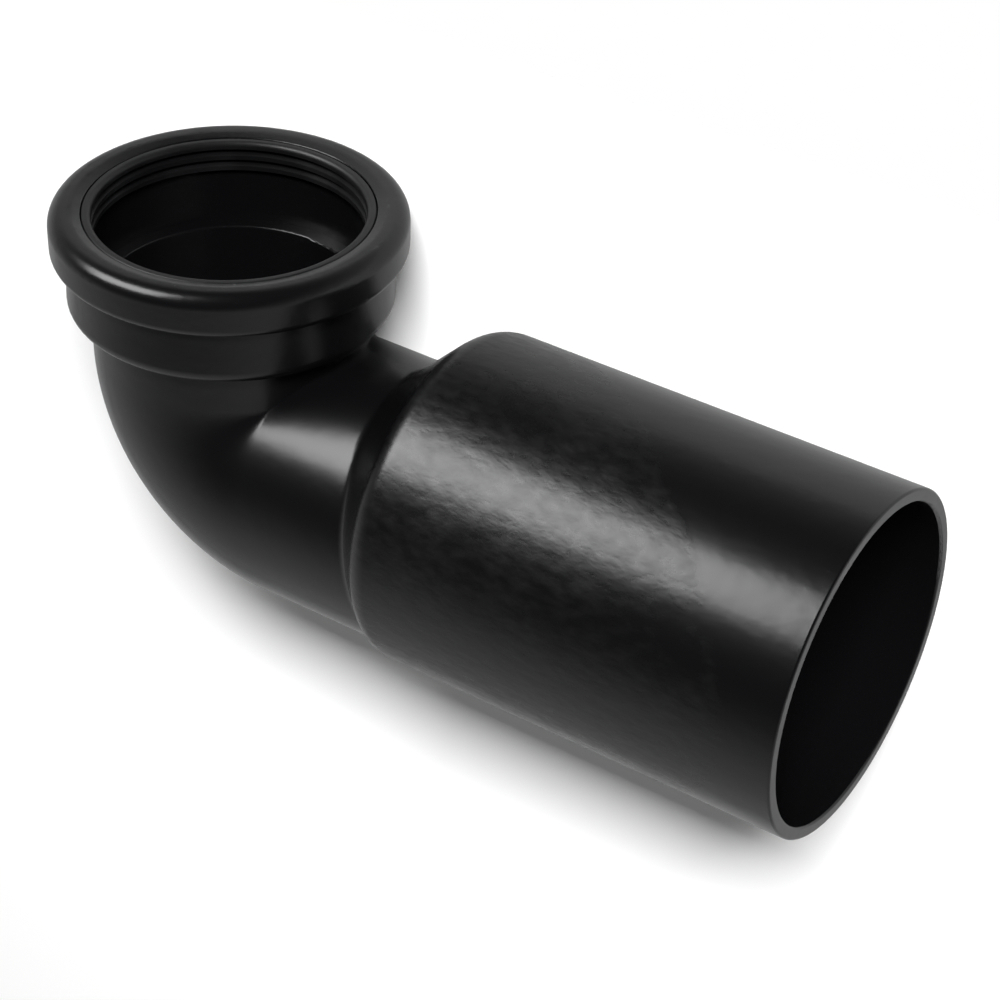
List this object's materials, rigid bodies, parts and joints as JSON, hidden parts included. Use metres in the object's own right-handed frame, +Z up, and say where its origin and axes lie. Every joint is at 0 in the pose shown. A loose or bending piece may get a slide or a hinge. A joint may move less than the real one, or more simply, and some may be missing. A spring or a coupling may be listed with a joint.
{
  "type": "drain pipe bend",
  "caption": "Black moulded drain bend: a ring-seal socket turns through a tight elbow into a wider, offset plain spigot with a sloping shoulder.",
  "frame": {"origin": "middle of the spigot's open end, on the spigot's axis", "axes": "+X out of the spigot's end, +Y out of the socket's mouth, +Z up with the bend lying on its side"},
  "size_m": [0.2877, 0.1296, 0.1134],
  "materials": {
    "black_polyethylene": "satin",
    "black_rubber": "satin"
  },
  "bodies": {
    "root": {"bend_body": "black_polyethylene", "seal_ring": "black_rubber"}
  },
  "joints": []
}
